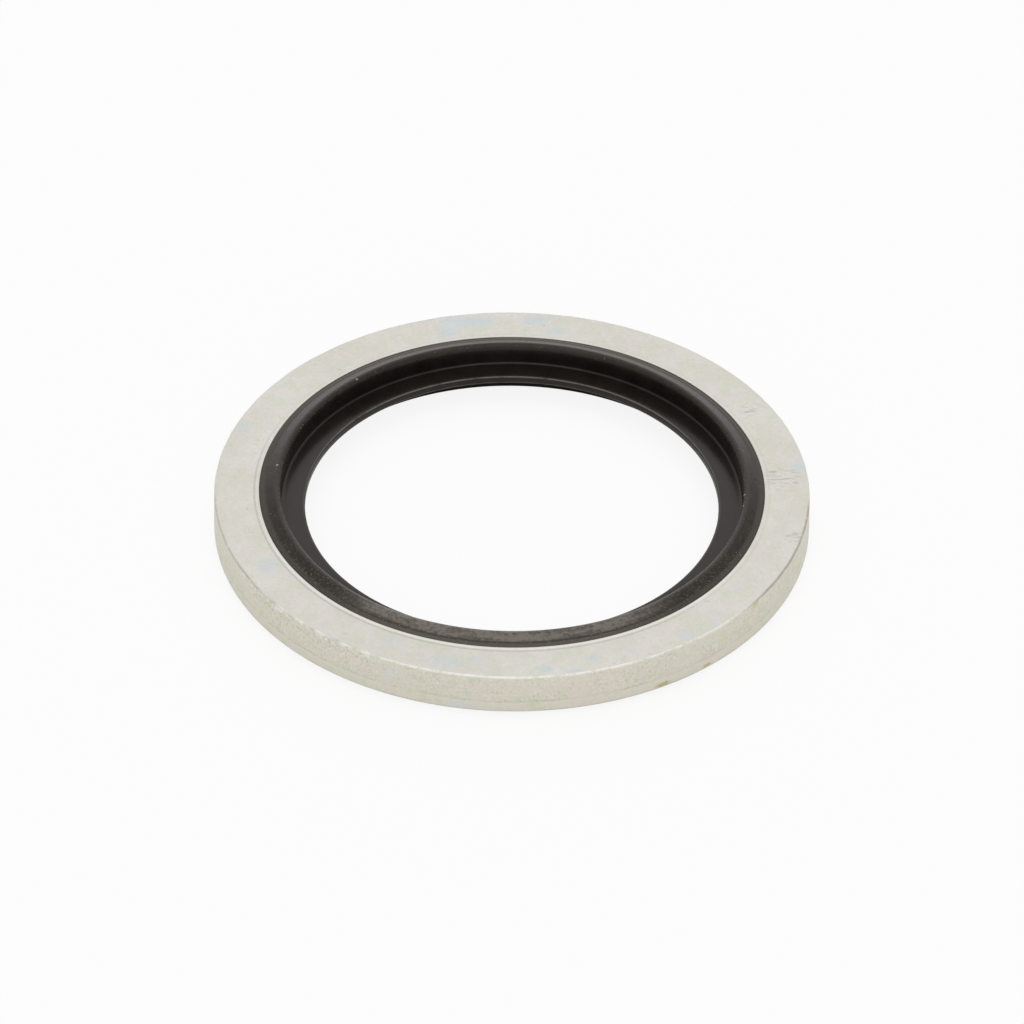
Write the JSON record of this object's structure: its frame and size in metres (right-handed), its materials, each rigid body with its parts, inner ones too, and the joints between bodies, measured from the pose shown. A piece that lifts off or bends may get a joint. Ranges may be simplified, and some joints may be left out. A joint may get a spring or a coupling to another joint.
{
  "type": "bonded sealing washer",
  "caption": "Flat plated steel ring with a black rubber seal bonded to its inner wall: a lip proud of each face and a thin centring web.",
  "frame": {"origin": "on the bore's axis at mid height, which is the centre of the whole part", "axes": "+Z along the bore's axis, towards the steel face with the sharper outer edge; the part has no front, so +X and +Y are free"},
  "size_m": [0.035, 0.035, 0.0032],
  "materials": {
    "plated_steel": "clear zinc plate over blanked mild steel: pale warm grey, satin, faint blue and pink film colours",
    "black_rubber": "moulded nitrile rubber, black, low satin sheen, a little dust"
  },
  "bodies": {
    "root": {"steel_ring": "plated_steel", "rubber_seal": "black_rubber"}
  },
  "joints": []
}
